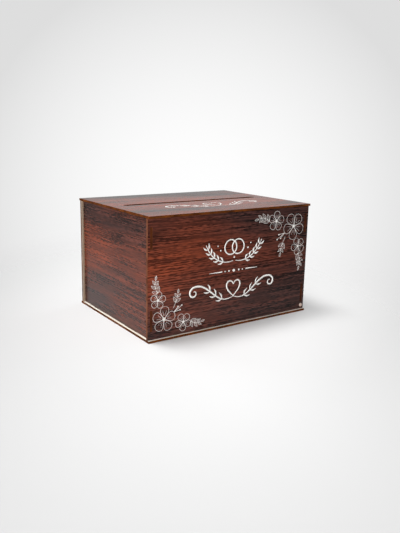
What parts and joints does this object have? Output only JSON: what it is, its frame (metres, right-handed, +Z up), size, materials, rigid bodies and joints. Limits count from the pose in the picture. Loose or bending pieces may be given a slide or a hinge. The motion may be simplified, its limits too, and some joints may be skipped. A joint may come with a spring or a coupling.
{
  "type": "card box",
  "caption": "Flat-pack card box of printed wood-grain board with tenoned walls, a screwed right wall and a lift-off lid with a long card slot.",
  "frame": {"origin": "middle of the base panel's underside, which stands on the table", "axes": "+X along the front wall to the right, +Y from the front wall to the back wall, +Z up"},
  "size_m": [0.256, 0.195, 0.153],
  "materials": {
    "printed_board": "dark red-brown wood-grain print, satin",
    "raw_board": "raw pale board, matte",
    "zinc_plated_steel": "zinc plated, bright"
  },
  "bodies": {
    "box": {"base_panel": "printed_board", "front_panel": "printed_board", "back_panel": "printed_board", "left_side_panel": "printed_board", "right_side_panel": "printed_board", "corner_screws": "zinc_plated_steel", "corner_nuts": "zinc_plated_steel"},
    "lid": {"lid_panel": "printed_board", "lid_strip_front": "raw_board", "lid_strip_back": "raw_board", "lid_strip_left": "raw_board", "lid_strip_right": "raw_board"}
  },
  "joints": [
    {"name": "lid_lift", "type": "slide", "parent": "box", "child": "lid", "axis": [0, 0, 1], "range_m": [0, 0.06]}
  ]
}
